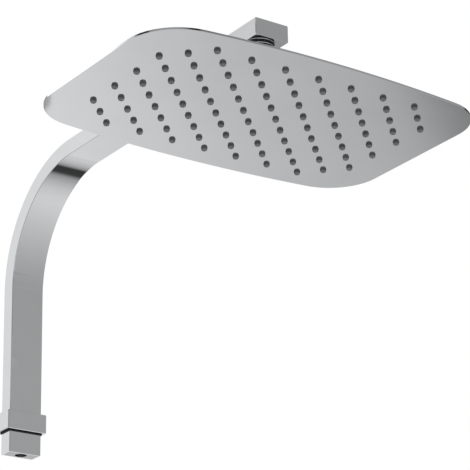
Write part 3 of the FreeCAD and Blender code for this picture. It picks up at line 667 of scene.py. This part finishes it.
def make_groove_ring():
    """Black ring that fills the groove in the stud's flange."""
    bm = bmesh.new()
    outline = [
        (flange - 2.45, 17.05), (flange - 0.4, 17.05), (flange - 0.15, 17.3), (flange - 0.15, 19.4),
        (flange - 0.4, 19.65), (flange - 2.45, 19.65), (flange - 2.45, 17.05),
    ]
    turn(bm, outline, ball_centre, RING_STEPS)
    hand_over("groove_ring", bm, "arm", "black_rubber")


make_ball_stud()
make_groove_ring()

# %% [markdown]
# ## Union nut
# The nut is a hexagon with a chamfer at both ends. The blank is a row of four hexagons, the first and the
# last smaller than the two between them, with a bridge from each to the next. The hollow is a row of
# rings inside it that narrows above the ball, and a flat ring at each end joins the two.

# %% Union nut
NUT_RADIUS = 16.2 * MM
NUT_SIDES = 6
FOOT_DRAWN_IN = 1.3 * MM
FOOT_CHAMFER = 0.9 * MM
TOP_DRAWN_IN = 1.5 * MM
TOP_CHAMFER = 1.1 * MM
NUT_HOLLOW = ((11.8, -13.0), (11.8, 3.632), (8.6, 8.203), (8.6, NUT_TOP))


def stacked(bm, outline, sides):
    """Skin a row of (radius, height) rings round the ball's centre and give back its two ends."""
    rings = []
    for radius, height in outline:
        rings.append(circle(bm, radius, ball_centre + Vector((0, 0, height)), sides))
    for first, second in zip(rings, rings[1:]):
        bridge(bm, first, second)
    return rings[0], rings[-1]


def make_union_nut():
    bm = bmesh.new()
    foot = nut_low.z - ball_centre.z
    top = nut_high.z - ball_centre.z
    blank = [
        (NUT_RADIUS - FOOT_DRAWN_IN, foot), (NUT_RADIUS, foot + FOOT_CHAMFER),
        (NUT_RADIUS, top - TOP_CHAMFER), (NUT_RADIUS - TOP_DRAWN_IN, top),
    ]
    hollow = [(radius * MM, height * MM) for radius, height in NUT_HOLLOW]
    outer_foot, outer_top = stacked(bm, blank, NUT_SIDES)
    inner_foot, inner_top = stacked(bm, hollow, RING_STEPS)
    fill(bm, [outer_foot, inner_foot])
    fill(bm, [outer_top, inner_top])
    hand_over("hexagon_nut", bm, "head", "chromed_fitting", "union_nut")


make_union_nut()

# %% [markdown]
# ## Hub
# A turned hub spreads the load on the back plate. Its cone runs out into a thin flange. The hub is
# seen from above and behind only, and there its soft edges matter.

# %% Hub
HUB_BORE = 5.0
MOUTH_RADIUS = 7.5
MOUTH_DEPTH = 5.5
hub_low, hub_high = box_of("hub_boss")


def make_hub():
    bm = bmesh.new()
    top = (hub_high.z - hub_low.z) / MM
    outline = [
        (HUB_BORE, 0.0), (25.7, 0.0), (26.0, 0.3), (26.0, 2.0), (25.6, 2.5), (24.6, 2.9), (15.4, 9.6),
        (14.3, 10.7), (14.0, 12.0), (14.0, 25.8), (13.6, 26.2), (11.7, 26.2), (11.7, top),
        (MOUTH_RADIUS, top), (MOUTH_RADIUS, top - MOUTH_DEPTH), (HUB_BORE, top - MOUTH_DEPTH),
        (HUB_BORE, 0.0),
    ]
    turn(bm, outline, Vector((HEAD_X, HEAD_Y, hub_low.z)), TURNING_STEPS)
    hand_over("hub", bm, "head", "chromed_fitting", "hub_boss", sharp=20)


make_hub()

# %% [markdown]
# ## Finishes
# Each finish is a small tree of nodes that reads Object coordinates, so a pattern stays on its piece
# when the joints move. Chrome is a mirror with almost no colour of its own: what gives it away is a
# faint unevenness of the polish, so noise drives its roughness. Brass and steel are duller. Rubber and
# plastic scatter light. These four have a fine grain too, which is a second noise as a bump.

# %% Finish helper
NOISE_LOW = 0.3
NOISE_HIGH = 0.7
GRAIN_FACTOR = 9
GRAIN_HEIGHT = 0.05 * MM
FINISHES = {}


def new_finish(name, metallic, roughness, scale, spread, bump, dark, light, gleam=0.5):
    """Finish whose colour and roughness wander a little between two values."""
    material = bpy.data.materials.new(name)
    material.use_nodes = True
    nodes, links = material.node_tree.nodes, material.node_tree.links
    shader = nodes["Principled BSDF"]
    shader.inputs["Metallic"].default_value = metallic
    shader.inputs["Specular IOR Level"].default_value = gleam
    place = nodes.new("ShaderNodeTexCoord")
    noise = nodes.new("ShaderNodeTexNoise")
    noise.inputs["Scale"].default_value = scale
    noise.inputs["Detail"].default_value = 5.0
    links.new(place.outputs["Object"], noise.inputs["Vector"])
    tint = nodes.new("ShaderNodeValToRGB")
    tint.color_ramp.elements[0].position = NOISE_LOW
    tint.color_ramp.elements[1].position = NOISE_HIGH
    tint.color_ramp.elements[0].color = (*dark, 1)
    tint.color_ramp.elements[1].color = (*light, 1)
    links.new(noise.outputs["Fac"], tint.inputs["Fac"])
    links.new(tint.outputs["Color"], shader.inputs["Base Color"])
    polish = nodes.new("ShaderNodeMapRange")
    polish.inputs["From Min"].default_value = NOISE_LOW
    polish.inputs["From Max"].default_value = NOISE_HIGH
    polish.inputs["To Min"].default_value = max(roughness - spread, 0.0)
    polish.inputs["To Max"].default_value = roughness + spread
    links.new(noise.outputs["Fac"], polish.inputs["Value"])
    links.new(polish.outputs["Result"], shader.inputs["Roughness"])
    if bump:
        grain = nodes.new("ShaderNodeTexNoise")
        grain.inputs["Scale"].default_value = scale * GRAIN_FACTOR
        grain.inputs["Detail"].default_value = 2.0
        links.new(place.outputs["Object"], grain.inputs["Vector"])
        relief = nodes.new("ShaderNodeBump")
        relief.inputs["Strength"].default_value = bump
        relief.inputs["Distance"].default_value = GRAIN_HEIGHT
        links.new(grain.outputs["Fac"], relief.inputs["Height"])
        links.new(relief.outputs["Normal"], shader.inputs["Normal"])
    FINISHES[name] = material


# %% [markdown]
# The numbers of a finish are, in this order: how metallic and how rough it is, the fineness of its
# noise, how far the roughness wanders, the strength of the bump, its darker and its lighter colour and,
# for the black rubber alone, a weaker gleam than the usual one.

# %% Finishes
new_finish("chromed_tube", 1.0, 0.05, 30, 0.015, 0.0, (0.775, 0.785, 0.795), (0.80, 0.81, 0.82))
new_finish("chromed_fitting", 1.0, 0.045, 60, 0.015, 0.0, (0.775, 0.785, 0.795), (0.80, 0.81, 0.82))
new_finish("polished_sheet", 1.0, 0.07, 18, 0.02, 0.0, (0.765, 0.775, 0.79), (0.795, 0.805, 0.82))
new_finish("satin_sheet", 1.0, 0.24, 18, 0.03, 0.0, (0.74, 0.75, 0.76), (0.78, 0.79, 0.80))
new_finish("plain_brass", 1.0, 0.3, 120, 0.06, 0.15, (0.62, 0.47, 0.24), (0.72, 0.57, 0.31))
new_finish("plain_steel", 1.0, 0.32, 140, 0.05, 0.2, (0.5, 0.5, 0.51), (0.62, 0.62, 0.63))
new_finish("black_rubber", 0.0, 0.6, 200, 0.08, 0.3, (0.007, 0.007, 0.008), (0.018, 0.018, 0.019), 0.3)
new_finish("nozzle_rubber", 0.0, 0.55, 160, 0.08, 0.25, (0.11, 0.11, 0.115), (0.165, 0.165, 0.17))
new_finish("white_plastic", 0.0, 0.4, 90, 0.05, 0.1, (0.78, 0.78, 0.76), (0.86, 0.86, 0.84))
print("finishes:", ", ".join(FINISHES))

# %% [markdown]
# The shade that the holes cast on the nipples' roots is painted into the rubber's colour, so the roots
# are
# darker and the tips lighter: the colour is multiplied by a share that falls from the tips up to the
# plate.

# %% Painted shade at the roots
PAINTED_SHADE_REACH = 2.4 * MM
PAINTED_ROOT_SHADE = 0.5


def paint_root_shade(material, root, tip, share):
    """Paint shade into the colour: multiply it by a share at the nipples' roots, fading to nothing at
    their tips.
    """
    nodes, links = material.node_tree.nodes, material.node_tree.links
    shader = nodes["Principled BSDF"]
    colour = shader.inputs["Base Color"].links[0].from_socket
    place = nodes.new("ShaderNodeTexCoord")
    split = nodes.new("ShaderNodeSeparateXYZ")
    links.new(place.outputs["Object"], split.inputs[0])
    fade = nodes.new("ShaderNodeMapRange")
    fade.inputs["From Min"].default_value = tip
    fade.inputs["From Max"].default_value = root
    fade.inputs["To Min"].default_value = 1.0
    fade.inputs["To Max"].default_value = share
    links.new(split.outputs["Z"], fade.inputs["Value"])
    # Painted shade: this node multiplies the rubber's colour down towards the roots.
    shade = nodes.new("ShaderNodeMix")
    shade.data_type = "RGBA"
    shade.blend_type = "MULTIPLY"
    shade.inputs[0].default_value = 1.0
    colour_sockets = [socket for socket in shade.inputs if socket.type == "RGBA"]
    links.new(colour, colour_sockets[0])
    links.new(fade.outputs["Result"], colour_sockets[1])
    result = [socket for socket in shade.outputs if socket.type == "RGBA"][0]
    links.new(result, shader.inputs["Base Color"])


# The shade at the nipples' roots is painted into the rubber's colour.
paint_root_shade(FINISHES["nozzle_rubber"], PLATE_FOOT, PLATE_FOOT - PAINTED_SHADE_REACH, PAINTED_ROOT_SHADE)
print("roots of the nipples at", PAINTED_ROOT_SHADE, "of the rubber's colour")

# %% [markdown]
# Each solid gets the finish of its slot, and so does each piece. The back pan has two: its flat and
# sloping parts are satin, and only its upright rim is polished like the face.

# %% Handing out the finishes
FLAT_ENOUGH = 0.75
node_slots = {part["node"]: part["material_slot"] for part in frame["record"]["subparts"]}
for node_name, node_object in frame["nodes"].items():
    node_object.data.materials.clear()
    node_object.data.materials.append(FINISHES[node_slots[node_name]])
for piece, slot in PIECES.values():
    piece.data.materials.append(FINISHES[slot])
back_mesh = PIECES["back_pan"][0].data
back_mesh.materials.append(FINISHES["satin_sheet"])
for face in back_mesh.polygons:
    face.material_index = 1 if abs(face.normal.z) > FLAT_ENOUGH else 0
print("satin faces on the back:", sum(face.material_index for face in back_mesh.polygons))

# %% [markdown]
# ## Light
# A mirror shows the room, so the room is the light. A studio for chrome is a ring of pale cards and
# grey or black flags round the object. Here the world plays that room: for the camera it is plain
# white, for diffuse surfaces an even soft light, and for mirror rays a set of cards, each a patch of
# directions with a soft edge and a strength. Cards are laid one over the other, as on a real set.

# %% Room
world = bpy.data.worlds.new("studio")
bpy.context.scene.world = world
world.use_nodes = True
room = world.node_tree.nodes
wires = world.node_tree.links
room.clear()


def put(kind, **values):
    """Add a node to the room's tree."""
    node = room.new(kind)
    for key, value in values.items():
        setattr(node, key, value)
    return node


def calc(operation, first, second=None):
    """One step of arithmetic in the room's tree."""
    node = put("ShaderNodeMath", operation=operation)
    for socket, value in zip(node.inputs, (first, second)):
        if value is None:
            continue
        if isinstance(value, (int, float)):
            socket.default_value = value
        else:
            wires.new(value, socket)
    return node.outputs[0]


def ramp(value, low, high, low_value, high_value):
    """Smooth change of a value between two marks."""
    node = put("ShaderNodeMapRange", interpolation_type="SMOOTHSTEP")
    wires.new(value, node.inputs["Value"])
    node.inputs["From Min"].default_value = low
    node.inputs["From Max"].default_value = high
    node.inputs["To Min"].default_value = low_value
    node.inputs["To Max"].default_value = high_value
    return node.outputs["Result"]


def blend_to(under, over, share):
    """Lay one tone over another where a mask says so."""
    kept = calc("MULTIPLY", under, calc("SUBTRACT", 1.0, share))
    return calc("ADD", kept, calc("MULTIPLY", over, share))


# %% [markdown]
# A direction in the room is told by its height, which is the sine of its slope, and by two angles. The
# bearing runs round the upright axis: 0 is behind the object, 90 on its right, 180 in front of it. The
# roll runs round the axis from left to right: 90 is above, 180 in front, 270 below.

# %% Directions in the room
FULL_CIRCLE = 360.0
DEGREES = 180 / math.pi


def full_turn(angle):
    """The same angle, counted from 0 to 360."""
    return calc("ADD", angle, calc("MULTIPLY", calc("LESS_THAN", angle, 0.0), FULL_CIRCLE))


direction = put("ShaderNodeTexCoord").outputs["Generated"]
parts = put("ShaderNodeSeparateXYZ")
wires.new(direction, parts.inputs[0])
to_right, to_back, height = parts.outputs
heading = calc("MULTIPLY", calc("ARCTAN2", to_right, to_back), DEGREES)
bearing = full_turn(heading)
roll = full_turn(calc("MULTIPLY", calc("ARCTAN2", height, to_back), DEGREES))
print("nodes that tell a direction:", len(room))

# %% Masks


def patch(towards, inner, outer):
    """Mask of the directions within an angle of one direction, with a soft edge."""
    node = put("ShaderNodeVectorMath", operation="DOT_PRODUCT")
    wires.new(direction, node.inputs[0])
    node.inputs[1].default_value = Vector(towards).normalized()
    fades_out = math.cos(math.radians(outer))
    full_from = math.cos(math.radians(inner))
    return ramp(node.outputs["Value"], fades_out, full_from, 0.0, 1.0)


def window(value, low, low_soft, high, high_soft):
    """Mask that is 1 between two marks and fades out past each of them."""
    rising = ramp(value, low - low_soft, low, 0.0, 1.0)
    return calc("MULTIPLY", rising, ramp(value, high, high + high_soft, 1.0, 0.0))


def card(rise, angle, span):
    """Mask of a card: one window in height and one round the room."""
    return calc("MULTIPLY", window(height, *rise), window(angle, *span))


def graded(value, marks):
    """Tone that follows a row of marks: (angle, strength)."""
    node = put("ShaderNodeValToRGB")
    first, last = node.color_ramp.elements[0], node.color_ramp.elements[-1]
    for stop, mark in ((first, marks[0]), (last, marks[-1])):
        stop.position = mark[0] / FULL_CIRCLE
        stop.color = (mark[1], mark[1], mark[1], 1)
    for angle, strength in marks[1:-1]:
        stop = node.color_ramp.elements.new(angle / FULL_CIRCLE)
        stop.color = (strength, strength, strength, 1)
    wires.new(calc("DIVIDE", value, FULL_CIRCLE), node.inputs["Fac"])
    return node.outputs["Color"]


# %% [markdown]
# ## Cards
# Each card is made for the surfaces that mirror it in the photograph's view. The side patch is for the
# arm's broad left side. The arch, a row of tones by roll, is for the arm's underside, the inside of its
# bend and the front of the riser. The under card lies below the horizon, where the face plate looks,
# and shades it from one end to the other. The ring, a row of tones by bearing in a low band, is for
# the stud's flange and the plate's thin rim. The skirt carries the ring's tones further down in front
# and on the left, but never darker than a dark grey, so that upright fronts don't turn black in other
# views. The side card is for upright sides that face left, and the narrow glint in it, brighter than
# white, for the plate's left end.

# %% Tones of the cards
ARCH_MARKS = (
    (120, 0.42), (157, 0.386), (161.5, 0.404), (165, 0.392), (187, 0.455), (206, 0.534), (226, 0.62),
    (245, 0.714), (256, 0.755), (265, 0.745), (275, 0.67), (284, 0.54), (293, 0.36), (298.5, 0.05),
    (308, 0.04), (311.5, 0.36), (317, 0.56), (325, 0.69), (334, 0.79), (360, 0.8),
)
RING_MARKS = (
    (0, 0.24), (24, 0.24), (34, 0.48), (46, 0.30), (56, 0.03), (60, 0.0), (93, 0.0), (98, 0.20),
    (104, 0.30), (125, 0.33), (134, 0.346), (147, 0.346), (151, 0.31), (158, 0.24), (165, 0.19),
    (169, 0.02), (171, 0.0), (186, 0.0), (190, 0.10), (197, 0.22), (208, 0.34), (225, 0.37),
    (245, 0.36), (257, 0.30), (269, 0.25), (272, 0.0), (293, 0.0), (301, 0.25), (312, 0.75),
    (345, 0.75), (348, 0.24),
)
UNDER_MARKS = (
    (28, 0.86), (30.5, 0.775), (33, 0.673), (35.5, 0.58), (37.2, 0.54), (38.9, 0.496),
    (39.8, 0.434), (40.6, 0.31), (41.4, 0.18), (44, 0.15),
)
SIDE_PATCH_TONE = 0.84
SKIRT_FLOOR = 0.24
GLINT_TONE = 1.35
print("marks:", len(ARCH_MARKS), "arch,", len(RING_MARKS), "ring,", len(UNDER_MARKS), "under")

# %% [markdown]
# A rise or a span is four numbers: where the card begins and how softly, where it ends and how softly.
# The rise is in height and the span in degrees. The plain room behind all cards is dark below and pale
# above. The under card's angle leans with height, because the plate's shading isn't parallel to its
# ends.

# %% Edges of the cards
ROOM_HEIGHTS = (-0.9, 0.9)
ROOM_TONES = (0.42, 0.82)
SIDE_PATCH = ((-0.51, 0.77, 0.386), 28, 48)
ARCH_EDGE = (0.1, 0.3)
UNDER_LEAN = 30.0
UNDER_OFFSET = 12.6
UNDER_RISE, UNDER_SPAN = (-0.45, 0.02, -0.30, 0.06), (24, 4, 48, 4)
SKIRT_RISE, SKIRT_SPAN = (0.15, 0.05, 0.42, 0.03), (162, 6, 298, 6)
RING_RISE = (0.385, 0.025, 0.455, 0.03)
SIDE_RISE, SIDE_SPAN = (0.36, 0.06, 0.55, 0.06), (311, 8, 344, 6)
SIDE_FADE = (0.39, 0.445, 0.84, 0.72)
GLINT_RISE, GLINT_SPAN = (0.4155, 0.005, 0.46, 0.02), (326.7, 1.0, 344, 6)
print("ring from height", RING_RISE[0], "to", RING_RISE[2])

# %% Cards laid over each other
leaning = calc("SUBTRACT", heading, calc("MULTIPLY", height, UNDER_LEAN))
under_angle = calc("SUBTRACT", leaning, UNDER_OFFSET)
ring_tone = graded(bearing, RING_MARKS)
tone = ramp(height, *ROOM_HEIGHTS, *ROOM_TONES)
tone = blend_to(tone, SIDE_PATCH_TONE, patch(*SIDE_PATCH))
tone = blend_to(tone, graded(roll, ARCH_MARKS), ramp(to_right, *ARCH_EDGE, 0.0, 1.0))
tone = blend_to(tone, graded(under_angle, UNDER_MARKS), card(UNDER_RISE, heading, UNDER_SPAN))
tone = blend_to(tone, calc("MAXIMUM", ring_tone, SKIRT_FLOOR), card(SKIRT_RISE, bearing, SKIRT_SPAN))
tone = blend_to(tone, ring_tone, window(height, *RING_RISE))
tone = blend_to(tone, ramp(height, *SIDE_FADE), card(SIDE_RISE, bearing, SIDE_SPAN))
tone = blend_to(tone, GLINT_TONE, card(GLINT_RISE, bearing, GLINT_SPAN))
print("cards of", len(room), "nodes")

# %% [markdown]
# Only mirror rays see the cards. Diffuse surfaces get one even level, and the camera and rays that pass
# through something clear see plain white.

# %% What each kind of ray sees
SOFT_LEVEL = 0.55
path = put("ShaderNodeLightPath")
seen = blend_to(SOFT_LEVEL, tone, path.outputs["Is Glossy Ray"])
straight = calc("MAXIMUM", path.outputs["Is Camera Ray"], path.outputs["Is Transmission Ray"])
seen = blend_to(seen, 1.0, straight)
background = put("ShaderNodeBackground")
background.inputs["Color"].default_value = (1, 1, 1, 1)
wires.new(seen, background.inputs["Strength"])
wires.new(background.outputs[0], put("ShaderNodeOutputWorld").inputs["Surface"])
print("room of", len(room), "nodes")

# %% [markdown]
# ## Lamps and floor
# Two large soft lamps give the rubber and plastic their shape, one from above at the front and one low
# down, which reaches the nozzles' ends. They are hidden from mirror rays, because the cards already
# stand for them there. The floor is pale and lies well below, as the head hangs above a tray. Further
# out it fades to the white of the room, so that no edge shows. From underneath it is see-through, so a
# camera under it still sees the object.

# %% Lamps
LAMP_AIM = Vector((0, -0.3, 0.2))


def add_lamp(name, place, size, power):
    """Soft round lamp that points at the object."""
    data = bpy.data.lights.new(name, "AREA")
    data.shape = "DISK"
    data.size = size
    data.energy = power
    lamp = bpy.data.objects.new(name, data)
    lamp.location = place
    aim = LAMP_AIM - Vector(place)
    lamp.rotation_mode = "QUATERNION"
    lamp.rotation_quaternion = aim.to_track_quat("-Z", "Y")
    lamp.visible_glossy = False
    bpy.context.scene.collection.objects.link(lamp)
    print(name, size, "m wide,", power, "W,", round(aim.length, 2), "m away")


add_lamp("key_lamp", (-1.2, -1.4, 1.8), 1.2, 18.0)
add_lamp("low_lamp", (-0.2, -0.6, -0.9), 0.8, 5.0)

# %% Floor
FLOOR_CENTRE = (0, -0.3, -1.0)
FLOOR_RADIUS = 16.0
floor_mesh = bmesh.new()
bmesh.ops.create_circle(
    floor_mesh, cap_ends=True, radius=FLOOR_RADIUS, segments=96, matrix=Matrix.Translation(FLOOR_CENTRE))
floor_data = bpy.data.meshes.new("floor")
floor_mesh.to_mesh(floor_data)
floor_mesh.free()
floor = bpy.data.objects.new("floor", floor_data)
bpy.context.scene.collection.objects.link(floor)
floor.visible_glossy = False
print("floor of radius", FLOOR_RADIUS, "m at level", FLOOR_CENTRE[2], "m")

# %% Paint of the floor
PAINT_DARK = 0.86
PAINT_LIGHT = 0.90
paint = bpy.data.materials.new("pale_floor")
paint.use_nodes = True
tree = paint.node_tree
tree.nodes.clear()
out = tree.nodes.new("ShaderNodeOutputMaterial")
matt = tree.nodes.new("ShaderNodeBsdfDiffuse")
grain = tree.nodes.new("ShaderNodeTexNoise")
grain.inputs["Scale"].default_value = 6.0
floor_tint = tree.nodes.new("ShaderNodeValToRGB")
floor_tint.color_ramp.elements[0].color = (PAINT_DARK, PAINT_DARK, PAINT_DARK, 1)
floor_tint.color_ramp.elements[1].color = (PAINT_LIGHT, PAINT_LIGHT, PAINT_LIGHT, 1)
tree.links.new(grain.outputs["Fac"], floor_tint.inputs["Fac"])
tree.links.new(floor_tint.outputs["Color"], matt.inputs["Color"])
print("floor painted between", PAINT_DARK, "and", PAINT_LIGHT)

# %% Fade to white and see-through underside
FADE_START = 1.5
FADE_END = 5.0
glow = tree.nodes.new("ShaderNodeEmission")
glow.inputs["Strength"].default_value = 1.0
clear = tree.nodes.new("ShaderNodeBsdfTransparent")
place = tree.nodes.new("ShaderNodeTexCoord")
reach = tree.nodes.new("ShaderNodeVectorMath")
reach.operation = "LENGTH"
tree.links.new(place.outputs["Object"], reach.inputs[0])
fade = tree.nodes.new("ShaderNodeMapRange")
fade.inputs["From Min"].default_value = FADE_START
fade.inputs["From Max"].default_value = FADE_END
tree.links.new(reach.outputs["Value"], fade.inputs["Value"])
far_mix = tree.nodes.new("ShaderNodeMixShader")
tree.links.new(fade.outputs["Result"], far_mix.inputs[0])
tree.links.new(matt.outputs[0], far_mix.inputs[1])
tree.links.new(glow.outputs[0], far_mix.inputs[2])
side = tree.nodes.new("ShaderNodeNewGeometry")
under_mix = tree.nodes.new("ShaderNodeMixShader")
tree.links.new(side.outputs["Backfacing"], under_mix.inputs[0])
tree.links.new(far_mix.outputs[0], under_mix.inputs[1])
tree.links.new(clear.outputs[0], under_mix.inputs[2])
tree.links.new(under_mix.outputs[0], out.inputs["Surface"])
floor_data.materials.append(paint)
print("floor fades to white from", FADE_START, "to", FADE_END, "m")

# %% [markdown]
# ## Finish
# The view transform is Standard, so a colour renders about as it is written.

# %% Finish
bpy.context.scene.view_settings.view_transform = "Standard"
